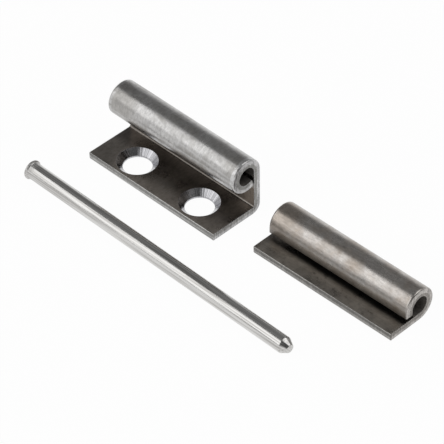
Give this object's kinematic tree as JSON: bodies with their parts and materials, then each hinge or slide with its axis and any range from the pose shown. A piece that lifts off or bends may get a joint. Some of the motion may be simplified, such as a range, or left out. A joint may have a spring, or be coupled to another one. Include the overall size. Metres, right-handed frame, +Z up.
{
  "type": "loose pin hinge",
  "caption": "Rolled steel hinge with a removable headed pin, laid out in three pieces: a raised leaf with countersunk holes, a plain weld-on leaf and the pin.",
  "frame": {"origin": "midway between the two screw holes, on the underside of the screw leaf", "axes": "+X along the screw leaf's barrel towards the plain leaf, +Z up from the bench, +Y from the plate's free edge to the web"},
  "size_m": [0.0944, 0.0336, 0.0166],
  "materials": {
    "screw_leaf_steel": "bright cold rolled strip, bare, with faint rolling marks",
    "plain_leaf_steel": "cold rolled strip, bare and slightly warmer, with blotches and light scratches",
    "pin_steel": "bright drawn wire, ground along its length"
  },
  "bodies": {
    "root": {"screw_leaf": "screw_leaf_steel", "plain_leaf": "plain_leaf_steel", "hinge_pin": "pin_steel"}
  },
  "joints": []
}
